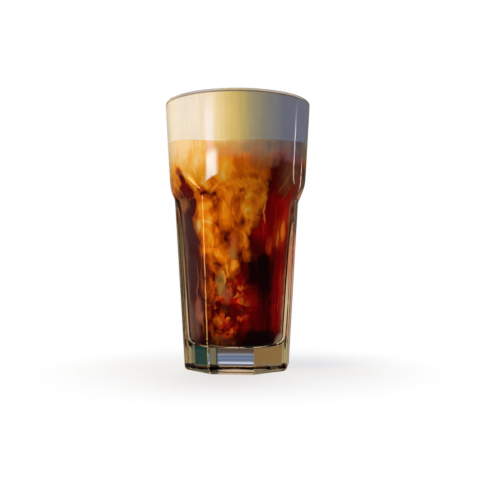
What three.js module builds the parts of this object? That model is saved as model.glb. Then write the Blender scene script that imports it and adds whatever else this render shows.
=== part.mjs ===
// A tall tumbler of cold brew coffee under a thick layer of cream foam.
// Millimetres, +Z up. The origin is the middle of the foot, and the drink's front faces -Y.
// The glass is round above its shoulder and has eight flat panels below it.
import * as THREE from "three";

// Glass, outside
const HEIGHT = 157;
const RIM_RADIUS = 43;
const WALL_SLOPE = 0.057;
const LIP_RADIUS = 1.5;
const PANELS = 8;
const PANEL_TURN = THREE.MathUtils.degToRad(-7);
const EDGE_CRISPNESS = 60;
const FOOT_FLAT = 29.8;
const PANEL_SLOPE = 0.058;
const COVE_Z = 99.2;
const COVE_SLOPE = 0.447;
const COVE_SOFTNESS = 0.8;
const SHOULDER_SOFTNESS = 0.8;
const FOOT_ROUNDING = 2.4;
const PUNT_RADIUS = 20;
const PUNT_DEPTH = 1.2;

// Glass, inside
const UPPER_WALL = 3.0;
const PANEL_WALL = 8.0;
const INNER_COVE_SLOPE = 0.62;
const INNER_COVE_SOFTNESS = 10;
const INNER_SHOULDER_SOFTNESS = 3;
const FLOOR_Z = 14.2;
const FLOOR_ROUNDING = 6;

// Drink
const GAP = 0.3;
const CREAM_TOP_Z = 155.2;
const CREAM_DOME = 0.5;
const LAYER_Z = 130.9;
const LAYER_SAG = 1.8;
const LAYER_RIPPLE = 0.35;
const LAYER_RIPPLES = 5;

// Facets
const COLUMNS = PANELS * 6;
const SHOULDER_STEPS = 9;
const SHOULDER_LOW_Z = 97;
const SHOULDER_HIGH_Z = 114;
const UPPER_STEPS = 4;
const LIP_STEPS = 6;
const FOOT_STEPS = 4;
const FLOOR_STEPS = 5;
const SURFACE_RINGS = 3;

// Even steps from one value to another, both ends included.
const steps = (from, to, count) =>
  Array.from({ length: count + 1 }, (_, i) => from + ((to - from) * i) / count);

// The lesser of two values, with the corner between them eased.
const softMin = (a, b, softness) => (a + b - Math.hypot(a - b, softness)) / 2;

// A ramp that leaves zero smoothly.
const softRamp = (x, softness) => (x + Math.hypot(x, softness)) / 2;

// Distance of the flats from the axis: a straight taper, then a cove that turns out to the shoulder.
const flatAt = (z, coveSlope, softness) =>
  FOOT_FLAT + PANEL_SLOPE * z + coveSlope * softRamp(z - COVE_Z, softness);

// Radius of the round upper wall.
const roundAt = (z) => RIM_RADIUS - WALL_SLOPE * (HEIGHT - z);

// How much further out than its flats an eight-sided section reaches in one direction.
function panelReach(angle) {
  let sum = 0;
  for (let k = 0; k < PANELS; k++) {
    const facing = Math.cos(angle - PANEL_TURN - (k * 2 * Math.PI) / PANELS);
    sum += Math.max(facing, 0) ** EDGE_CRISPNESS;
  }
  return sum ** (-1 / EDGE_CRISPNESS);
}

// Outer surface: the panels cut into the round wall, so each ends in an arch at the shoulder.
function outerRadius(angle, z) {
  const flats = flatAt(z, COVE_SLOPE, COVE_SOFTNESS);
  return softMin(roundAt(z), panelReach(angle) * flats, SHOULDER_SOFTNESS);
}

// Inner surface: round at every height, with a softer shoulder and a thick wall behind the panels.
function innerRadius(z) {
  const lower = flatAt(z, INNER_COVE_SLOPE, INNER_COVE_SOFTNESS) - PANEL_WALL;
  return softMin(roundAt(z) - UPPER_WALL, lower, INNER_SHOULDER_SOFTNESS);
}

// Quarter or half circle as [across, up] pairs about its own centre.
const arc = (radius, from, to, count) =>
  steps(from, to, count).map((t) => [radius * Math.cos(t), radius * Math.sin(t)]);

const lipZ = HEIGHT - LIP_RADIUS;
const shoulderHeights = steps(SHOULDER_LOW_Z, SHOULDER_HIGH_Z, SHOULDER_STEPS);
const upperHeights = steps(SHOULDER_HIGH_Z, lipZ, UPPER_STEPS).slice(1, -1);

// Closed outline of the glass in one direction, from under the foot round the lip to the floor.
function glassProfile(angle) {
  const lipCentre = outerRadius(angle, lipZ) - LIP_RADIUS;
  const footCentre = outerRadius(angle, FOOT_ROUNDING) - FOOT_ROUNDING;
  const under = [[0, PUNT_DEPTH], [PUNT_RADIUS, 0]];
  const foot = arc(FOOT_ROUNDING, -Math.PI / 2, 0, FOOT_STEPS)
    .map(([x, y]) => [footCentre + x, FOOT_ROUNDING + y]);
  const outside = [FLOOR_Z, SHOULDER_LOW_Z / 2, ...shoulderHeights, ...upperHeights]
    .map((z) => [outerRadius(angle, z), z]);
  const lip = arc(LIP_RADIUS, 0, Math.PI, LIP_STEPS).map(([x, y]) => [lipCentre + x, lipZ + y]);
  return [...under, ...foot, ...outside, ...lip, ...cavityProfile(0, lipZ).reverse()];
}

// The cavity from its floor to a height in the upper wall, drawn in by a clearance.
function cavityProfile(clearance, topZ) {
  const cornerZ = FLOOR_Z + FLOOR_ROUNDING;
  const cornerX = innerRadius(cornerZ) - FLOOR_ROUNDING;
  const corner = arc(FLOOR_ROUNDING - clearance, -Math.PI / 2, 0, FLOOR_STEPS)
    .map(([x, y]) => [cornerX + x, cornerZ + y]);
  const wall = [SHOULDER_LOW_Z / 2, ...shoulderHeights, ...upperHeights.filter((z) => z < topZ)]
    .map((z) => [innerRadius(z) - clearance, z]);
  return [[0, FLOOR_Z + clearance], ...corner, ...wall];
}

// Height of the line between coffee and cream: low at the front and back, with a few ripples.
function layerHeight(angle, share) {
  const ripple = LAYER_RIPPLE * Math.sin(LAYER_RIPPLES * angle);
  return LAYER_Z + share ** 2 * (ripple - LAYER_SAG * Math.cos(2 * angle));
}

// Rings of a surface that fills the cavity, from the wall to the axis.
function surfaceProfile(angle, heightAt) {
  const edgeZ = heightAt(angle, 1);
  const edge = innerRadius(edgeZ) - GAP;
  return steps(1, 0, SURFACE_RINGS).map((share) => [edge * share, heightAt(angle, share)]);
}

const coffeeProfile = (angle) =>
  [...cavityProfile(GAP, LAYER_Z - 2 * LAYER_SAG), ...surfaceProfile(angle, layerHeight)];

const creamUnder = (angle, share) => layerHeight(angle, share) + GAP;
const creamOver = (angle, share) => CREAM_TOP_Z + CREAM_DOME * (1 - share ** 2);
const creamProfile = (angle) =>
  [...surfaceProfile(angle, creamUnder).reverse(), ...surfaceProfile(angle, creamOver)];

// A solid turned about Z whose outline may change with the direction. A column of facets lies on
// every panel edge, so the edges stay straight.
function turned(profileAt) {
  const toPoints = (angle) => profileAt(angle).map(([r, z]) => new THREE.Vector2(r, z));
  const geometry = new THREE.LatheGeometry(toPoints(0), COLUMNS, PANEL_TURN);
  const position = geometry.getAttribute("position");
  const rows = position.count / (COLUMNS + 1);
  for (let column = 0; column <= COLUMNS; column++) {
    const angle = PANEL_TURN + ((column % COLUMNS) / COLUMNS) * 2 * Math.PI;
    toPoints(angle).forEach((point, row) => {
      const index = column * rows + row;
      position.setXYZ(index, point.x * Math.sin(angle), point.y, point.x * Math.cos(angle));
    });
  }
  geometry.rotateX(Math.PI / 2);
  geometry.computeVertexNormals();
  return geometry;
}

const glassFinish = new THREE.MeshStandardMaterial({
  color: 0xdfe2da,
  roughness: 0.04,
  metalness: 0,
  transparent: true,
  opacity: 0.35,
});
const coffeeFinish = new THREE.MeshStandardMaterial({ color: 0x6b2408, roughness: 0.25, metalness: 0 });
const creamFinish = new THREE.MeshStandardMaterial({ color: 0xe9dcc0, roughness: 0.6, metalness: 0 });

function piece(name, profileAt, finish) {
  const mesh = new THREE.Mesh(turned(profileAt), finish);
  mesh.name = name;
  return mesh;
}

const drink = new THREE.Group();
drink.add(
  piece("glass", glassProfile, glassFinish),
  piece("coffee", coffeeProfile, coffeeFinish),
  piece("cream_foam", creamProfile, creamFinish),
);

export default drink;
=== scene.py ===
import math

import bpy
import numpy as np
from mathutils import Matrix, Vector


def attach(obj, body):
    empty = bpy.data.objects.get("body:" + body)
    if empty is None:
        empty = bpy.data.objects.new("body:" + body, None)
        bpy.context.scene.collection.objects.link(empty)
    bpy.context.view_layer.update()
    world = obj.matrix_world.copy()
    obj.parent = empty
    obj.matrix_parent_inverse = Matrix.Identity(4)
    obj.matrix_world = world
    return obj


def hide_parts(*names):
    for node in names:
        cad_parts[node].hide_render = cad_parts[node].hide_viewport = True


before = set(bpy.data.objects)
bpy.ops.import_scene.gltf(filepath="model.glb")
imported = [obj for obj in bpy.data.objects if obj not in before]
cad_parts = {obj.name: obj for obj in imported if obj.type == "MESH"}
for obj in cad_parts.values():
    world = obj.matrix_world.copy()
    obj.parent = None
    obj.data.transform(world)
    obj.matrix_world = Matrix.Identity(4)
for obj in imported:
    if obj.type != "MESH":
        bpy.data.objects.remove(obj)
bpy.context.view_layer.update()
print("frame in place:", ", ".join(sorted(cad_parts)))

# camera, straight on and a little below half the glass's height
shot = {"away": 0.430, "height": 0.0599, "aimX": 0.0073, "aimZ": 0.0700, "lens": 51.9}


def placeCamera():
    data = bpy.data.cameras.new("shot")
    data.lens = shot["lens"]
    camera = bpy.data.objects.new("shot", data)
    camera.location = (0, -shot["away"], shot["height"])
    aim = Vector((shot["aimX"], 0, shot["aimZ"])) - camera.location
    camera.rotation_euler = aim.to_track_quat("-Z", "Y").to_euler()
    bpy.context.collection.objects.link(camera)
    bpy.context.scene.camera = camera


placeCamera()
print("camera placed")


class Wire:
    # an output socket with sums on it; with no socket it stands for its tree alone
    def __init__(self, tree, socket=None):
        self.tree = tree
        self.socket = socket

    def node(self, kind, settings=None, inputs=None, output=0):
        made = self.tree.nodes.new("ShaderNode" + kind)
        for name, value in (settings or {}).items():
            if name == "stops":
                setStops(made.color_ramp, value)
            else:
                setattr(made, name, value)
        for key, value in (inputs or {}).items():
            if isinstance(value, Wire):
                self.tree.links.new(value.socket, made.inputs[key])
            else:
                made.inputs[key].default_value = value
        return Wire(self.tree, made.outputs[output])

    def math(self, operation, *values):
        return self.node("Math", {"operation": operation}, dict(enumerate(values)))

    def __add__(self, other):
        return self.math("ADD", self, other)

    def __sub__(self, other):
        return self.math("SUBTRACT", self, other)

    def __rsub__(self, other):
        return self.math("SUBTRACT", other, self)

    def __mul__(self, other):
        return self.math("MULTIPLY", self, other)

    def __truediv__(self, other):
        return self.math("DIVIDE", self, other)

    __radd__ = __add__
    __rmul__ = __mul__

    # 0 at low and 1 at high, eased; low may be the larger
    def between(self, low, high):
        span = {"Value": self, "From Min": low, "From Max": high}
        return self.node("MapRange", {"interpolation_type": "SMOOTHSTEP"}, span)

    # this value chooses between two colours
    def choose(self, first, second):
        return self.node("Mix", {"data_type": "RGBA"}, {0: self, 6: first, 7: second}, 2)

    # colours listed by this value
    def ramp(self, listed):
        low, high = listed[0][0], listed[-1][0]
        stops = [((at - low) / (high - low), (*colour[:3], 1)) for at, colour in listed]
        return self.node("ValToRGB", {"stops": stops}, {0: (self - low) / (high - low)})

    # a position moved about by noise
    def stirred(self, size, amount, detail):
        swirl = self.node("TexNoise", None, {"Vector": self, "Scale": 1 / size, "Detail": detail}, "Color")
        centred = self.node("VectorMath", {"operation": "SUBTRACT"}, {0: swirl, 1: (0.5, 0.5, 0.5)})
        push = {0: centred, 1: amount, 2: self}
        return self.node("VectorMath", {"operation": "MULTIPLY_ADD"}, push)

    def stretched(self, amounts):
        return self.node("VectorMath", {"operation": "MULTIPLY"}, {0: self, 1: amounts})

    def dot(self, axis):
        return self.node("VectorMath", {"operation": "DOT_PRODUCT"}, {0: self, 1: axis}, "Value")

    def length(self):
        return self.node("VectorMath", {"operation": "LENGTH"}, {0: self}, "Value")

    # x, y and z of a vector
    def parts(self):
        return [self.node("SeparateXYZ", None, {0: self}, axis) for axis in range(3)]

    def noise(self, size, detail, roughness):
        inputs = {"Vector": self, "Scale": 1 / size, "Detail": detail, "Roughness": roughness}
        return self.node("TexNoise", None, inputs)

    # feeds a socket
    def into(self, socket):
        self.tree.links.new(self.socket, socket)


def setStops(ramp, stops):
    while len(ramp.elements) < len(stops):
        ramp.elements.new(0.5)
    for element, (position, colour) in zip(ramp.elements, stops):
        element.position = position
        element.color = colour


# sRGB hex to a linear colour
def tone(hexCode):
    channels = [int(hexCode[i:i + 2], 16) / 255 for i in (0, 2, 4)]
    linear = [c / 12.92 if c <= 0.04045 else ((c + 0.055) / 1.055) ** 2.4 for c in channels]
    return (*linear, 1.0)


def newFinish(name):
    material = bpy.data.materials.new(name)
    material.use_nodes = True
    surface = material.node_tree.nodes["Principled BSDF"]
    return material, Wire(material.node_tree), surface


# mixes another shader into a finish by a factor
def mixIn(paint, surface, share, other):
    body = Wire(paint.tree, surface.outputs[0])
    mixed = paint.node("MixShader", None, {0: share, 1: body, 2: other})
    mixed.into(paint.tree.nodes["Material Output"].inputs["Surface"])


# a position in the piece's own space, in millimetres
def inMillimetres(paint):
    return paint.node("TexCoord", output="Object").stretched((1000, 1000, 1000))


# sizes of the tumbler in metres, the same as the solid's
tumbler = {
    "height": 0.157, "rimRadius": 0.043, "wallSlope": 0.057, "lipRadius": 0.0015,
    "panels": 8, "panelTurn": math.radians(-7), "edgeCrispness": 60,
    "footFlat": 0.0298, "panelSlope": 0.058, "footRounding": 0.0024,
    "coveZ": 0.0992, "coveSlope": 0.447, "coveSoftness": 0.0008, "shoulderSoftness": 0.0008,
    "puntRadius": 0.020, "puntDepth": 0.0012,
    "upperWall": 0.0030, "panelWall": 0.0080, "innerCoveSlope": 0.62, "innerCoveSoftness": 0.010,
    "innerShoulderSoftness": 0.003, "floorZ": 0.0142, "floorRounding": 0.006,
    # how the mesh is cut
    "shoulderLow": 0.0965, "shoulderHigh": 0.1155,
    "columnsPerPanel": 40, "crowding": 0.6, "sharpAngle": math.radians(40),
}

# rows of points along each stretch of the glass and of the drink
rows = {
    "punt": 16, "foot": 10, "panels": 30, "shoulder": 54, "upperWall": 16, "lip": 14,
    "floor": 12, "corner": 14, "innerPanels": 40, "innerShoulder": 34, "innerUpper": 24,
    "coffeeTop": 16, "coffeeEdge": 8, "creamUnder": 16, "creamSide": 24, "creamTop": 40,
}


def softMin(a, b, softness):
    return (a + b - np.hypot(a - b, softness)) / 2


def softRamp(x, softness):
    return (x + np.hypot(x, softness)) / 2


def flatAt(z, coveSlope, softness):
    taper = tumbler["footFlat"] + tumbler["panelSlope"] * z
    return taper + coveSlope * softRamp(z - tumbler["coveZ"], softness)


def roundAt(z):
    return tumbler["rimRadius"] - tumbler["wallSlope"] * (tumbler["height"] - z)


# how much further than its flats the eight-sided section reaches in each direction
def panelReach(angles):
    crispness = tumbler["edgeCrispness"]
    facings = tumbler["panelTurn"] + evenColumns(tumbler["panels"])
    return sum(np.maximum(np.cos(angles - f), 0) ** crispness for f in facings) ** (-1 / crispness)


def outerRadius(angles, z):
    flats = flatAt(z, tumbler["coveSlope"], tumbler["coveSoftness"])
    return softMin(roundAt(z), panelReach(angles) * flats, tumbler["shoulderSoftness"])


def innerRadius(z):
    lower = flatAt(z, tumbler["innerCoveSlope"], tumbler["innerCoveSoftness"]) - tumbler["panelWall"]
    return softMin(roundAt(z) - tumbler["upperWall"], lower, tumbler["innerShoulderSoftness"])


# columns crowd towards the panel edges, where the section turns
def panelColumns():
    perPanel = tumbler["columnsPerPanel"]
    share = np.arange(tumbler["panels"] * perPanel) / perPanel
    crowded = share + tumbler["crowding"] * np.sin(2 * math.pi * share) / (2 * math.pi)
    return tumbler["panelTurn"] + crowded * 2 * math.pi / tumbler["panels"]


def evenColumns(count):
    return np.arange(count) * 2 * math.pi / count


# a closed mesh from rings of (radius, height) round the axis, whose first and last are points
def turnedMesh(name, rings, angles):
    columns = len(angles)
    radii = np.array([np.broadcast_to(r, columns) for r, z in rings])
    heights = np.array([np.broadcast_to(z, columns) for r, z in rings])
    points = np.stack([radii * np.sin(angles), -radii * np.cos(angles), heights], axis=-1)
    ends = [points[0, 0], points[-1, 0]]
    body = points[1:-1].reshape(-1, 3)
    last = len(body)
    index = np.arange(last).reshape(-1, columns)
    along = np.roll(index, -1, axis=1)
    quads = np.stack([index[:-1], along[:-1], along[1:], index[1:]], axis=-1).reshape(-1, 4)
    firstFan = [(last, b, a) for a, b in zip(index[0], along[0])]
    lastFan = [(a, b, last + 1) for a, b in zip(index[-1], along[-1])]
    faces = [*map(tuple, quads), *firstFan, *lastFan]
    mesh = bpy.data.meshes.new(name)
    mesh.from_pydata([*map(tuple, body), *map(tuple, ends)], [], faces)
    mesh.shade_smooth()
    mesh.set_sharp_from_angle(angle=tumbler["sharpAngle"])
    piece = bpy.data.objects.new(name, mesh)
    bpy.context.collection.objects.link(piece)
    return piece


def arcPoints(radius, start, end, count):
    return [(radius * math.cos(t), radius * math.sin(t)) for t in np.linspace(start, end, count)]


# rings of the cavity from its floor to a height, grown into the wall by a little
def cavityRings(grown, topZ):
    cornerZ = tumbler["floorZ"] + tumbler["floorRounding"]
    cornerX = innerRadius(cornerZ) - tumbler["floorRounding"]
    floor = [(cornerX * share, tumbler["floorZ"] - grown) for share in np.linspace(0, 0.97, rows["floor"])]
    bend = arcPoints(tumbler["floorRounding"] + grown, -math.pi / 2, 0, rows["corner"])
    corner = [(cornerX + x, cornerZ + y) for x, y in bend]
    heights = [
        *np.linspace(cornerZ, tumbler["shoulderLow"], rows["innerPanels"])[1:],
        *np.linspace(tumbler["shoulderLow"], tumbler["shoulderHigh"], rows["innerShoulder"])[1:],
        *np.linspace(tumbler["shoulderHigh"], topZ, rows["innerUpper"])[1:],
    ]
    return [*floor, *corner, *((innerRadius(z) + grown, z) for z in heights)]


def makeGlass():
    angles = panelColumns()
    lipZ = tumbler["height"] - tumbler["lipRadius"]
    lipCentre = outerRadius(angles, lipZ) - tumbler["lipRadius"]
    footZ = tumbler["footRounding"]
    footCentre = outerRadius(angles, footZ) - footZ
    punt, depth = tumbler["puntRadius"], tumbler["puntDepth"]
    under = [(punt * s, depth * (1 - s * s) ** 2) for s in np.linspace(0, 1, rows["punt"])]
    foot = [(footCentre + x, footZ + y) for x, y in arcPoints(footZ, -math.pi / 2, 0, rows["foot"])]
    heights = [
        *np.linspace(footZ, tumbler["shoulderLow"], rows["panels"])[1:],
        *np.linspace(tumbler["shoulderLow"], tumbler["shoulderHigh"], rows["shoulder"])[1:],
        *np.linspace(tumbler["shoulderHigh"], lipZ, rows["upperWall"])[1:-1],
    ]
    outside = [(outerRadius(angles, z), z) for z in heights]
    bend = arcPoints(tumbler["lipRadius"], 0, math.pi, rows["lip"])
    lip = [(lipCentre + x, lipZ + y) for x, y in bend]
    inside = cavityRings(0, lipZ)[::-1][1:]
    piece = turnedMesh("tumblerGlass", [*under, *foot, *outside, *lip, *inside], angles)
    piece.data.materials.append(clearGlass())
    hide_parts("glass")
    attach(piece, "root")


clear = {"ior": 1.5, "tint": (0.84, 0.82, 0.70, 1.0), "density": 24.0}


# clear glass with a faint olive body colour; lamps shine through it on to the drink
def clearGlass():
    material, paint, surface = newFinish("clearGlass")
    surface.inputs["Base Color"].default_value = (1, 1, 1, 1)
    surface.inputs["Roughness"].default_value = 0.0
    surface.inputs["IOR"].default_value = clear["ior"]
    surface.inputs["Transmission Weight"].default_value = 1.0
    shadow = paint.node("LightPath", output="Is Shadow Ray")
    mixIn(paint, surface, shadow, paint.node("BsdfTransparent"))
    inside = paint.node("VolumeAbsorption", None, {"Color": clear["tint"], "Density": clear["density"]})
    inside.into(paint.tree.nodes["Material Output"].inputs["Volume"])
    return material


drink = {
    "sunk": 0.00015,        # reach into the wall
    "overlap": 0.0003,      # reach of the cream into the coffee
    "edgeBand": 0.002,      # height over which the coffee's rings take up the layer's ripples
    "layerZ": 0.1309, "layerSag": 0.0018, "layerRipple": 0.00035, "layerRipples": 5,
    "creamTop": 0.1552, "creamDome": 0.0005,
    "columns": 288,
    "edgeIor": 1.33 / 1.5,  # drink seen from inside the glass
}


def layerHeight(angles, share):
    ripple = drink["layerRipple"] * np.sin(drink["layerRipples"] * angles)
    return drink["layerZ"] + share ** 2 * (ripple - drink["layerSag"] * np.cos(2 * angles))


def sunkRadius(z):
    return innerRadius(z) + drink["sunk"]


def makeCoffee():
    angles = evenColumns(drink["columns"])
    edge = layerHeight(angles, 1)
    start = edge.min() - drink["edgeBand"]
    side = [start + (edge - start) * s for s in np.linspace(0, 1, rows["coffeeEdge"])[1:]]
    inwards = np.linspace(1, 0, rows["coffeeTop"])[1:]
    rings = cavityRings(drink["sunk"], start)
    rings += [(sunkRadius(z), z) for z in side]
    rings += [(sunkRadius(edge) * s, layerHeight(angles, s)) for s in inwards]
    piece = turnedMesh("coldBrew", rings, angles)
    piece.data.materials.append(coldBrew())
    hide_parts("coffee")
    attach(piece, "root")


def makeCream():
    angles = evenColumns(drink["columns"])
    edge = layerHeight(angles, 1)
    top, dome = drink["creamTop"], drink["creamDome"]
    outwards = np.linspace(0, 1, rows["creamUnder"])
    inwards = np.linspace(1, 0, rows["creamTop"])[1:]
    under = [(s, layerHeight(angles, s) - drink["overlap"] * (s < 1)) for s in outwards]
    side = [edge + (top - edge) * s for s in np.linspace(0, 1, rows["creamSide"])[1:]]
    rings = [(sunkRadius(edge) * s, z) for s, z in under]
    rings += [(sunkRadius(z), z) for z in side]
    rings += [(sunkRadius(top) * s, top + dome * (1 - s * s)) for s in inwards]
    piece = turnedMesh("creamFoam", rings, angles)
    piece.data.materials.append(creamFoam())
    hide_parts("cream_foam")
    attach(piece, "root")


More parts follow.
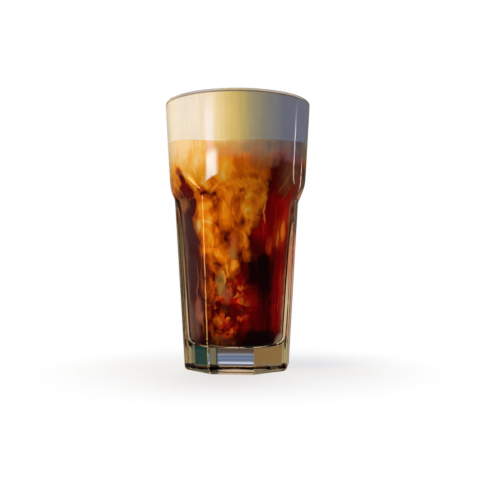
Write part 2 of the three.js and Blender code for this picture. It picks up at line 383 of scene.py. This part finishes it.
# what hangs in the drink, with painted light and shade among it, by degrees from the front and millimetres
# up
brew = {
    # coffee from black to where light glows through it
    "coffee": [
        (0.00, tone("120000")), (0.20, tone("380000")), (0.40, tone("5c0000")), (0.60, tone("800000")),
        (0.80, tone("a40400")), (1.00, tone("c42008")),
    ],
    # cream from a thin amber cloud to a thick pale one
    "cream": [
        (0.00, tone("4c0a00")), (0.14, tone("7c2800")), (0.28, tone("a03e00")), (0.42, tone("bc5802")),
        (0.54, tone("d87404")), (0.65, tone("d68c12")), (0.75, tone("d89e30")), (0.88, tone("d6b470")),
        (1.00, tone("dac4a0")),
    ],
    # thickness of the cream by height
    "hang": [
        (14, 0.00), (22, 0.05), (32, 0.10), (44, 0.14), (56, 0.20), (66, 0.27), (78, 0.32), (90, 0.38),
        (100, 0.42), (107, 0.48), (114, 0.48), (119, 0.54), (124, 0.66), (128, 0.80), (133, 0.95),
    ],
    # thicker and thinner places: degrees, height, width, tallness, lean in degrees, strength
    "creamPatches": {
        "leftTop": (-66, 119, 36, 15, 0, 0.29),
        "tipA": (-58, 111.5, 9, 3.6, -34, -0.60),
        "tipRim": (-46, 109, 7, 1.8, -30, 0.16),
        "shoulderShade": (-57, 103.5, 14, 3.8, 0, -0.62),
        "tipB": (-34, 103.5, 5, 3.0, -24, -0.36),
        "tipC": (-24, 105.5, 5, 2.4, -20, -0.20),
        "leftFront": (-32, 114, 12, 9, 0, 0.16),
        "frontTop": (-12, 113, 10, 8, 0, 0.19),
        "frontDim": (-1, 118.5, 7, 5, 0, -0.17),
        "rightOfFront": (14, 117, 12, 8, 0, -0.08),
        "underArch": (5, 104, 16, 5.5, 0, 0.23),
        # painted shade: the cream thins here so the shaded left column shows dark
        "leftColumn": (-72, 60, 28, 46, 0, -0.90),
        "plumeGap": (-50, 95, 7, 4, 20, -0.40),
        "plumeNeck": (-31, 100.5, 7, 3.4, 14, -0.32),
        "plume": (-36, 86, 6, 10, 0, 0.27),
        "plumeLobe": (-48, 84, 8, 5, 10, 0.52),
        "plumeFoot": (-34, 73, 5, 7, 0, 0.26),
        "redGap": (-25, 97, 5, 7, 20, -0.26),
        "bayLow": (-17, 77, 8, 4, 0, -0.20),
        "tendril": (13, 92, 6, 12, 0, 0.14),
        "tendrilLow": (12, 76, 4, 6, 0, 0.12),
        "tendrilRoot": (12, 80.5, 6, 5, 0, 0.22),
        "spot": (5, 104, 3, 1.8, 0, -0.28),
        "tendrilSide": (24, 97, 6, 6, 0, 0.22),
        "heart": (4, 80, 20, 9, 0, -0.06),
        "lobeRight": (19, 70, 7, 6, 0, -0.22),
        "aboveGold": (-11, 73, 6, 4, 0, -0.07),
        "tendrilFoot": (17, 83, 5, 6, 0, 0.32),
        "archFoot": (20, 101, 10, 4, 0, 0.12),
        "strandLeft": (-37, 46, 4, 14, 0, 0.12),
        "emberLeft": (-36, 28, 4, 8, 0, 0.20),
        "rightSide": (62, 82, 41, 34, 0, -0.95),
        "rightTop": (36, 115, 12, 9, 0, -0.42),
        "rightFar": (62, 112, 22, 12, 0, -0.26),
        "rightLow": (47, 38, 45, 32, 0, -0.80),
        # painted glow: thick cream under the bright spot where light shines through the drink
        "paintedGlowCore": (57, 81, 4, 4, 8, 0.90),
        "iceShade": (2, 36, 16, 16, 0, -0.12),
        "glowLow": (-24, 66, 10, 4, -20, 0.16),
        "gold": (-14, 58, 7, 6, 10, 0.36),
        "fire": (-4, 61, 5, 3, 0, 0.40),
        "emberA": (-26, 30, 7, 2.6, 0, 0.36),
        "emberB": (5, 35, 7, 2.4, 0, 0.34),
        "emberC": (-7, 23, 6, 3.5, 0, 0.28),
        "darkA": (-27, 37, 6, 2.6, 0, -0.34),
        "darkB": (-27, 24.5, 6, 3, 0, -0.34),
        "darkC": (-4, 38, 6, 4, 0, -0.34),
    },
    # brighter and darker places in the painted glow of light through the coffee itself
    "glowPatches": {
        "right": (44, 86, 22, 22, 0, 0.36),
        "rightTall": (62, 92, 14, 22, 0, 0.24),
        "rightEdge": (68, 66, 11, 52, 0, 0.30),
        "rightLow": (56, 40, 14, 28, 0, 0.40),
        "middle": (4, 40, 20, 22, 0, 0.36),
        "bayRight": (24, 84, 6, 10, 0, 0.30),
        "blockLeft": (17, 55, 10, 9, 0, -0.20),
        "blockRight": (29, 54, 13, 13, 0, -0.26),
        "blockTop": (30, 64, 10, 3, 0, -0.26),
        "well": (30, 19, 24, 5, 0, -0.36),
        "shoulder": (-57, 104, 14, 5, 0, 0.16),
    },
    "glow": 0.24,
    # clouded places, with their colour, and places of painted light and shade
    "tints": {
        # painted shade: the left column of coffee seen dark through the left panel, browner at its top and
        # lighter at its far edge
        "column": (-64, 60, 24, 44, 0, tone("40262a"), 0.88),
        "columnTop": (-72, 96.5, 14, 4, 0, tone("a06438"), 0.80),
        "columnEdge": (-82, 62, 9, 42, 0, tone("745650"), 0.70),
        "rose": (-51, 35, 9, 8, 0, tone("9c6054"), 0.90),
        "roseLow": (-68, 28, 14, 12, 0, tone("745048"), 0.88),
        "stone": (-5, 73, 5, 4, 0, tone("c45c28"), 0.75),
        "stoneFoot": (-5, 68, 5, 4, 0, tone("9c6c30"), 0.85),
        "olive": (-22, 51, 7, 7, 0, tone("987838"), 0.80),
        "roseMid": (-14, 45, 7, 4.5, 0, tone("985034"), 0.65),
        # a veil of thin cream under the foam, with painted shade on it that grows greyer and more purple
        # towards the right
        "veilFront": (-8, 125, 13, 5, 0, tone("b48c5a"), 0.60),
        "veilMidInShade": (18, 126, 18, 6, 0, tone("80645c"), 0.85),
        "veilFoot": (20, 118, 10, 5, 0, tone("7c4620"), 0.70),
        "veilInShade": (52, 128, 30, 9, 0, tone("5a506c"), 0.95),
        "veilLow": (54, 112, 15, 9, 0, tone("885030"), 0.65),
        "rightRim": (78, 103, 12, 9, 0, tone("7c4834"), 0.75),
        "rightRimLow": (74, 92, 6, 8, 0, tone("a8704c"), 0.75),
        # painted reflection: a pale streak down the right edge of the drink and a pale patch at its foot
        "edgeLight": (80, 34, 12, 30, 0, tone("e8a070"), 0.95),
        "edgeLightFoot": (74, 17, 16, 5, 0, tone("ecd0ac"), 0.95),
        "backCloud": (134, 60, 16, 42, 0, tone("7a6048"), 0.80),
        "backLeft": (-131, 60, 16, 42, 0, tone("d05a30"), 0.80),
        # painted glow: light shining through the drink, orange round a bright heart
        "paintedGlow": (53, 79, 11, 8, 12, tone("b83206"), 0.80),
        "paintedGlowHeart": (60, 81, 5, 4.5, 8, tone("ff7c12"), 1.60),
        "paintedGlowFoot": (50, 76, 3, 4, 10, tone("f07c20"), 0.70),
        "paintedGlowSpot": (36, 72.5, 5, 5, 8, tone("cc3a10"), 0.80),
        "floor": (-20, 18, 20, 3, 0, tone("4c2a14"), 0.70),
    },
    # drawn-out strands: degrees, height, half length, half thickness, lean, bend, colour, strength
    "strands": {
        # painted highlight: the bright gold line where the glass's shoulder over the front panels catches
        # light
        "archHighlight": (5, 107.6, 21, 1.3, 0, 2.3, tone("f09a18"), 0.60),
        "archHighlightLeft": (-22, 105, 7, 1.0, 24, 0.5, tone("e89a20"), 0.55),
        "funnelLeft": (8, 91, 14, 1.5, -64, 0.8, tone("e88a14"), 0.50),
        "funnelRight": (17, 90, 13, 1.3, 76, -0.8, tone("e07c0c"), 0.50),
        "hook": (26, 91, 5.5, 1.3, 84, 1.6, tone("ee8a3c"), 0.75),
        "hookTop": (24, 99, 4, 1.2, -50, 0.5, tone("d8742c"), 0.55),
        "finger": (-52, 113, 9, 1.6, -44, 0.4, tone("dca43c"), 0.55),
        "fingerLeft": (-70, 107, 6, 1.3, -60, 0.4, tone("c88c28"), 0.55),
        "leafEdge": (-52, 46, 17, 1.3, 80, -3.0, tone("a4582c"), 0.70),
        "leafFoot": (-46, 29, 7, 1.1, -60, 0.6, tone("c07034"), 0.70),
        "stalk": (-43, 58, 12, 1.6, 84, 0.8, tone("8c4a20"), 0.60),
        "rightArc": (47, 108, 7, 1.2, 50, 0.5, tone("a06820"), 0.60),
        "rightArcLow": (56, 104, 6, 1.1, 60, 0.5, tone("905c20"), 0.55),
        # painted glints: bright specks of light shining through the drink
        "paintedGlint": (-13, 59, 4, 1.6, -60, 0.3, tone("ffb830"), 0.80),
        "paintedGlintSide": (-4, 61, 3, 1.2, 70, 0.0, tone("ff8c20"), 0.80),
        "paintedGlintLow": (-17, 54, 3.5, 1.5, -75, 0.0, tone("e8b040"), 0.70),
        "ruby": (2, 41, 2.2, 1.2, 20, 0.0, tone("f03820"), 0.80),
        "rubyLow": (6, 31, 2, 1.0, -30, 0.0, tone("e84020"), 0.70),
        "redStreak": (57, 40, 6, 1.2, 88, 0.0, tone("d0404c"), 0.60),
        "redStreakLow": (51, 32, 8, 1.0, 86, 0.4, tone("b01c18"), 0.60),
        "redStreakHigh": (44, 80, 9, 1.2, 80, 0.6, tone("b83010"), 0.55),
    },
    "patchFade": (1.35, 0.45),   # where a patch starts and where it is full, as shares of its size
    "upper": (102, 118),         # heights over which the clouds give way to fibres under the foam
    "floorShade": (14, 28),      # heights over which the glow dies at the floor
    "foldWidth": 0.035,          # in the noise's own value
    # sizes of the noises, in millimetres
    "cloudSize": 7, "wispSize": 2.2, "foldSize": 9, "fibreSize": 1.5, "glowSize": 2.4, "grainSize": 2.2,
    "crumbSize": 3.2, "chipSize": 2.8,
    # how much each noise thickens or thins the cream, or brightens the glow
    "cloud": 0.45, "wisp": 0.10, "brightFold": 0.10, "darkFold": 0.09, "fibre": 0.30,
    "crumb": 0.26, "glowStreak": 0.36, "crumbGlow": 0.30,
    # broken ice low down
    "ice": (-9, 38, 24, 22, 0), "iceShare": 0.75,
    "chips": [
        (0.00, tone("1c0200")), (0.25, tone("440400")), (0.45, tone("840a04")), (0.60, tone("a41808")),
        (0.75, tone("b83c0c")), (0.88, tone("cc6418")), (1.00, tone("d08434")),
    ],
}


# 1 inside an oval patch of the wall, 0 outside, with eased edges; a bend turns its ends down
def patch(wall, at, up, wide, tall, lean, bend=0):
    turn = math.radians(lean)
    along = Vector((math.cos(turn), math.sin(turn), 0)) / wide
    beside = Vector((-math.sin(turn), math.cos(turn), 0)) / tall
    middle = Vector((at, up, 0))
    u, v = [wall.dot(axis) - middle.dot(axis) for axis in (along, beside)]
    if bend:
        v = v + u * u * bend
    return wall.math("SQRT", u * u + v * v).between(*brew["patchFade"])


def patches(wall, start, listed):
    total = start
    for *where, strength in listed.values():
        total = patch(wall, *where) * strength + total
    return total


# lays listed colours over another, each in its own patch, which a noise breaks up
def tinted(wall, colour, breakUp, listed):
    for *where, tint, strength in listed.values():
        colour = (patch(wall, *where) * breakUp * strength).choose(colour, tint)
    return colour


# degrees from the front and millimetres up, for a position, and its height alone
def wallPlace(place):
    x, y, z = place.parts()
    angle = place.math("ARCTAN2", x, y * -1) * math.degrees(1)
    return place.node("CombineXYZ", None, {0: angle, 1: z}), z


# slow clouds in the drink, and the same with wisps and thin folds
def swirls(place):
    swirl = place.stretched((1, 1, 0.5)).stirred(14, (11, 11, 9), 1).stirred(5, (3, 3, 3), 1)
    cloud = swirl.noise(brew["cloudSize"], 3, 0.5).between(0.30, 0.70) - 0.5
    wisp = swirl.noise(brew["wispSize"], 2, 0.5).between(0.25, 0.75) - 0.5
    stir = cloud * brew["cloud"] + wisp * brew["wisp"]
    # a fold lies where a slow noise crosses its middle value
    for squeeze, strength in (((1, 1, 0.8), brew["brightFold"]), ((0.8, 0.8, 1), -brew["darkFold"])):
        slow = swirl.stretched(squeeze).noise(brew["foldSize"], 1, 0.5) - 0.5
        stir = stir + place.math("ABSOLUTE", slow).between(brew["foldWidth"], 0.0) * strength
    return cloud, stir


# chips of broken ice, in tones of their own
def iceChips(drift):
    inputs = {"Vector": drift.stirred(2.5, (3, 3, 3), 2), "Scale": 1 / brew["chipSize"], "Smoothness": 0.6}
    cells = drift.node("TexVoronoi", {"feature": "SMOOTH_F1"}, inputs, "Color")
    return cells.dot((1, 0, 0)).ramp(brew["chips"])


def coldBrew():
    material, paint, surface = newFinish("coldBrew")
    place = inMillimetres(paint)
    drift = place.stirred(12, (3, 3, 3), 1).stirred(5, (3, 3, 4), 1)
    wall, height = wallPlace(drift)
    upper = height.between(*brew["upper"])
    streaks = place.stirred(10, (2, 2, 0), 2).stretched((1, 1, 0.07))
    cloud, stir = swirls(place)
    ice = patch(wall, *brew["ice"])
    crumb = (drift.noise(brew["crumbSize"], 2, 0.6).between(0.34, 0.66) - 0.5) * ice

    # thickness of the cream
    cream = height.ramp([(z, (v, v, v)) for z, v in brew["hang"]]) + 0  # one value from the ramp's grey
    cream = patches(wall, cream, brew["creamPatches"])
    fibre = streaks.noise(brew["fibreSize"], 3, 0.55) - 0.5
    cream = cream + stir * (1 - upper * 0.75) + fibre * upper * brew["fibre"] + crumb * brew["crumb"]

    # light that comes through the coffee
    streak = streaks.noise(brew["glowSize"], 3, 0.55).between(0.2, 0.8) - 0.5
    glow = patches(wall, streak * brew["glowStreak"] + brew["glow"], brew["glowPatches"])
    glow = glow * height.between(*brew["floorShade"]) + crumb * brew["crumbGlow"]

    colour = cream.between(0.0, 0.18).choose(glow.ramp(brew["coffee"]), cream.ramp(brew["cream"]))
    colour = (ice * brew["iceShare"]).choose(colour, iceChips(drift))
    grain = streaks.noise(brew["grainSize"], 3, 0.6).between(0.25, 0.75) * 0.5 + cloud * 0.5 + 0.55
    grain = grain * (1 - upper * 0.6) + upper * 0.55  # smoother near the foam
    colour = tinted(wall, colour, grain, brew["tints"])
    colour = tinted(wall, colour, cloud * 0.8 + 0.8, brew["strands"])
    colour.into(surface.inputs["Base Color"])
    surface.inputs["Roughness"].default_value = 0.5
    surface.inputs["Specular IOR Level"].default_value = 0.0
    # where glass meets drink, light that comes in flat is thrown back
    edge = paint.node("Fresnel", None, {"IOR": drink["edgeIor"]})
    mirror = paint.node("BsdfAnisotropic", None, {"Color": (1, 1, 1, 1), "Roughness": 0.0})
    mixIn(paint, surface, edge, mirror)
    return material


# foam by degrees from the front, with painted light in the side's tone: whiter and cooler at the left,
# warm yellow in front; one tone on top
foam = {
    "round": [
        (-180, (0.80, 0.72, 0.55)), (-90, (0.76, 0.68, 0.56)), (-68, (0.73, 0.69, 0.63)),
        (-48, (0.69, 0.70, 0.76)), (-34, (0.77, 0.76, 0.81)), (-26, (0.88, 0.83, 0.85)),
        (-20, (0.94, 0.87, 0.79)), (-13, (0.97, 0.84, 0.58)), (-6, (0.97, 0.78, 0.37)),
        (3, (0.91, 0.74, 0.32)), (11, (0.76, 0.69, 0.47)), (20, (0.83, 0.74, 0.60)),
        (32, (0.83, 0.775, 0.66)), (46, (0.79, 0.72, 0.62)), (70, (0.79, 0.71, 0.62)),
        (180, (0.80, 0.72, 0.55)),
    ],
    "top": (0.80, 0.72, 0.56, 1.0),
    "topEdge": (28, 38),         # radii over which the top's tone gives way to the side's
    "streaks": 0.20, "streakSize": 1.6,
    "bubbles": 0.00012, "bubbleSize": 0.9, "bubblesFrom": (154, 155),
}


def creamFoam():
    material, paint, surface = newFinish("creamFoam")
    place = inMillimetres(paint)
    wall, height = wallPlace(place)
    side = place.stretched((1, 1, 0)).length().between(*foam["topEdge"])
    # the side's tone by degrees, with painted light in it
    base = side.choose(foam["top"], wall.parts()[0].ramp(foam["round"]))
    streak = place.stretched((1, 1, 0.03)).noise(foam["streakSize"], 2, 0.5) - 0.5
    shade = 1 + streak * side * foam["streaks"]
    colour = paint.node("VectorMath", {"operation": "SCALE"}, {0: base, "Scale": shade})
    colour.into(surface.inputs["Base Color"])
    bubbles = place.noise(foam["bubbleSize"], 2, 0.6) * height.between(*foam["bubblesFrom"])
    bump = paint.node("Bump", None, {"Height": bubbles, "Distance": foam["bubbles"]})
    bump.into(surface.inputs["Normal"])
    surface.inputs["Roughness"].default_value = 0.6
    surface.inputs["Specular IOR Level"].default_value = 0.2
    return material


makeGlass()
makeCoffee()
makeCream()
print("drink made")

studio = {
    "floorRadius": 4.0, "floorCorners": 64, "floor": tone("f4f3f0"),
    "shadowReach": (0.035, 0.13), "shadowShare": 0.40,
    # what glass and drink see round them, by degrees from straight behind, at three heights and overhead
    "low": [
        (-180, (0.02, 0.02, 0.026)), (-64, (0.03, 0.03, 0.03)), (-56, (0.45, 0.40, 0.22)),
        (-34, (0.54, 0.45, 0.25)), (-29, (0.32, 0.185, 0.07)), (-14, (0.32, 0.185, 0.07)),
        (-11, (0.95, 0.66, 0.42)), (6, (0.95, 0.66, 0.42)), (7.2, (0.22, 0.17, 0.14)),
        (9.3, (0.22, 0.17, 0.14)), (10.5, (0.95, 0.66, 0.42)), (14.5, (0.90, 0.60, 0.38)),
        (16.5, (0.10, 0.06, 0.04)), (18, (0.003, 0.045, 0.052)), (28.5, (0.003, 0.045, 0.052)),
        (30.5, (0.20, 0.19, 0.12)), (60, (0.18, 0.17, 0.12)), (72, (0.02, 0.02, 0.026)),
        (180, (0.02, 0.02, 0.026)),
    ],
    "level": [
        (-180, (0.02, 0.02, 0.026)), (-98, (0.02, 0.02, 0.026)), (-94, (0.26, 0.09, 0.045)),
        (-80, (0.26, 0.09, 0.045)), (-72, (0.03, 0.03, 0.03)), (-50, (0.30, 0.25, 0.17)),
        (-16, (0.36, 0.20, 0.13)), (-12, (0.70, 0.32, 0.19)), (-5, (0.55, 0.25, 0.15)),
        (3, (0.60, 0.25, 0.15)), (6, (0.80, 0.30, 0.17)), (7.4, (0.19, 0.10, 0.07)),
        (8.8, (0.19, 0.10, 0.07)), (10, (0.80, 0.30, 0.17)), (14, (0.70, 0.25, 0.14)),
        (16.5, (0.16, 0.055, 0.03)), (18, (0.003, 0.045, 0.052)), (28.5, (0.003, 0.045, 0.052)),
        (30.5, (0.20, 0.19, 0.12)), (60, (0.18, 0.17, 0.12)), (72, (0.02, 0.02, 0.026)),
        (180, (0.02, 0.02, 0.026)),
    ],
    "above": [
        (-180, (0.70, 0.64, 0.42)), (-155, (0.40, 0.35, 0.26)), (-130, (0.90, 0.42, 0.23)),
        (-76, (0.90, 0.40, 0.21)), (-40, (0.10, 0.08, 0.06)), (-12, (0.40, 0.32, 0.22)),
        (-3, (0.36, 0.28, 0.19)), (0, (0.20, 0.14, 0.10)), (4, (0.10, 0.075, 0.06)),
        (14, (0.11, 0.11, 0.07)), (45, (0.11, 0.11, 0.07)), (90, (0.05, 0.05, 0.06)),
        (106, (0.10, 0.09, 0.07)), (116, (0.80, 0.74, 0.46)), (180, (0.80, 0.74, 0.46)),
    ],
    "overhead": (0.10, 0.09, 0.08, 1.0),
    # where one height gives way to the next, as the sine of the angle up
    "lowToLevel": (-0.02, 0.0), "levelToAbove": (0.024, 0.048), "aboveToOverhead": (0.28, 0.45),
}

card = {
    "behind": 0.090, "across": (-0.011, 0.016),
    # millimetres up and light
    "bands": [
        (-12, (0.78, 0.88, 1.32)), (-1.2, (0.78, 0.88, 1.32)), (-0.4, (0.30, 0.34, 0.52)),
        (0.4, (0.14, 0.18, 0.34)), (1.6, (0.21, 0.28, 0.56)), (3.0, (0.13, 0.18, 0.36)),
        (3.8, (0.30, 0.34, 0.52)), (4.6, (0.30, 0.32, 0.46)), (5.4, (0.13, 0.10, 0.10)),
        (7.0, (0.11, 0.07, 0.06)), (12, (0.09, 0.04, 0.07)), (14.5, (0.10, 0.05, 0.11)),
        (17, (0.78, 0.56, 0.40)), (40, (0.78, 0.56, 0.40)),
    ],
}


def flatPiece(name, corners):
    mesh = bpy.data.meshes.new(name)
    mesh.from_pydata(corners, [], [tuple(range(len(corners)))])
    piece = bpy.data.objects.new(name, mesh)
    bpy.context.collection.objects.link(piece)
    return piece


# a pale floor that fades to plain white away from the glass
def makeFloor():
    far = studio["floorRadius"]
    turns = evenColumns(studio["floorCorners"])
    floor = flatPiece("floor", [(far * math.sin(a), -far * math.cos(a), 0) for a in turns])
    material, paint, surface = newFinish("paleFloor")
    surface.inputs["Base Color"].default_value = studio["floor"]
    surface.inputs["Roughness"].default_value = 0.9
    away = paint.node("TexCoord", output="Object").length()
    fade = away.between(*studio["shadowReach"]) * studio["shadowShare"] + (1 - studio["shadowShare"])
    white = fade * paint.node("LightPath", output="Is Camera Ray")
    mixIn(paint, surface, white, paint.node("Emission"))
    floor.data.materials.append(material)
    floor.visible_glossy = False
    floor.visible_transmission = False


# a banded card a little behind the glass that shows only through its base
def makeCard():
    left, right = card["across"]
    low, high = card["bands"][0][0], card["bands"][-1][0]
    outline = ((left, low), (right, low), (right, high), (left, high))
    piece = flatPiece("card", [(x, card["behind"], z / 1000) for x, z in outline])
    material, paint, surface = newFinish("cardBands")
    height = inMillimetres(paint).parts()[2]
    height.ramp(card["bands"]).into(surface.inputs["Emission Color"])
    surface.inputs["Emission Strength"].default_value = 1.0
    surface.inputs["Base Color"].default_value = (0, 0, 0, 1)
    surface.inputs["Specular IOR Level"].default_value = 0.0
    piece.data.materials.append(material)
    piece.visible_camera = False
    piece.visible_diffuse = False
    piece.visible_glossy = False
    piece.visible_shadow = False


# 1 from low to high, fading out over a margin on both sides
def within(wire, low, high, margin):
    return wire.between(low - margin, low) * wire.between(high + margin, high)


# white behind for the camera; glass and drink see a dim room of several tones
def makeWorld():
    world = bpy.data.worlds.new("studio")
    world.use_nodes = True
    paint = Wire(world.node_tree)
    across, back, up = paint.node("TexCoord", output="Generated").parts()
    turn = paint.math("ARCTAN2", across, back) * math.degrees(1)
    low, level, above = [turn.ramp(studio[band]) for band in ("low", "level", "above")]
    room = up.between(*studio["lowToLevel"]).choose(low, level)
    room = up.between(*studio["levelToAbove"]).choose(room, above)
    room = up.between(*studio["aboveToOverhead"]).choose(room, studio["overhead"])
    seen = paint.node("LightPath", output="Is Camera Ray")
    seen.choose(room, (1, 1, 1, 1)).into(world.node_tree.nodes["Background"].inputs["Color"])
    bpy.context.scene.world = world
    bpy.context.scene.view_settings.view_transform = "Standard"


# soft lamps: turn from the front, height, distance, width, tallness, power, colour, shares of the width
# and of the tallness that fade at each edge, and the piece, for those that only glint in the glass or
# only light the drink
lamps = {
    "key": (-64, 0.40, 1.1, 0.5, 0.7, 21.0, (1.0, 0.88, 0.60), (0.2, 0.2), None),
    "side": (-105, 0.35, 1.1, 0.6, 0.9, 11.0, (0.30, 0.50, 1.0), (0.2, 0.2), None),
    "shade": (85, 0.35, 1.1, 0.6, 0.9, 6.5, (0.25, 0.40, 1.0), (0.2, 0.2), None),
    "behind": (170, 0.60, 0.9, 0.7, 0.5, 10.0, (0.90, 0.95, 1.0), (0.2, 0.2), None),
    "through": (28, 0.30, 1.0, 0.6, 0.6, 10.0, (1.0, 0.95, 0.88), (0.2, 0.2), "coldBrew"),
    "pane": (-42, 0.126, 1.0, 0.46, 0.118, 2.5, (0.30, 0.88, 0.86), (0.3, 0.2), "tumblerGlass"),
    "slit": (-44, 0.190, 1.0, 0.34, 0.24, 1.7, (0.14, 0.45, 1.0), (0.35, 0.4), "tumblerGlass"),
    "sill": (-86, -0.05, 1.0, 0.30, 0.44, 4.2, (1.0, 0.68, 0.20), (0.3, 0.3), "tumblerGlass"),
    "rimNear": (103.5, 0.18, 1.0, 0.06, 0.28, 0.42, (1.0, 0.80, 0.72), (0.3, 0.3), "tumblerGlass"),
    "rimFar": (130.5, 0.12, 1.0, 0.05, 0.26, 0.36, (1.0, 0.66, 0.52), (0.3, 0.3), "tumblerGlass"),
}


# a lamp whose light fades towards its edges
def softenLamp(data, sideways, upwards):
    data.use_nodes = True
    paint = Wire(data.node_tree)
    u, v = paint.node("NewGeometry", output="Parametric").parts()[:2]
    strength = within(u, sideways, 1 - sideways, sideways) * within(v, upwards, 1 - upwards, upwards)
    strength.into(data.node_tree.nodes["Emission"].inputs["Strength"])


def makeLamps():
    target = Vector((0, 0, tumbler["height"] / 2))
    for name, (turn, up, away, wide, tall, power, colour, soft, only) in lamps.items():
        data = bpy.data.lights.new(name, "AREA")
        data.shape = "RECTANGLE"
        data.size, data.size_y = wide, tall
        data.energy, data.color = power, colour
        softenLamp(data, *soft)
        lamp = bpy.data.objects.new(name, data)
        a = math.radians(turn)
        lamp.location = (away * math.sin(a), -away * math.cos(a), up)
        lamp.rotation_euler = (target - lamp.location).to_track_quat("-Z", "Y").to_euler()
        lamp.visible_camera = False
        lamp.visible_glossy = only == "tumblerGlass"
        lamp.visible_transmission = False
        bpy.context.collection.objects.link(lamp)
        if only:
            group = bpy.data.collections.new(name + "Lit")
            group.objects.link(bpy.data.objects[only])
            lamp.light_linking.receiver_collection = group


makeFloor()
makeCard()
makeWorld()
makeLamps()
print("stage and lamps set")
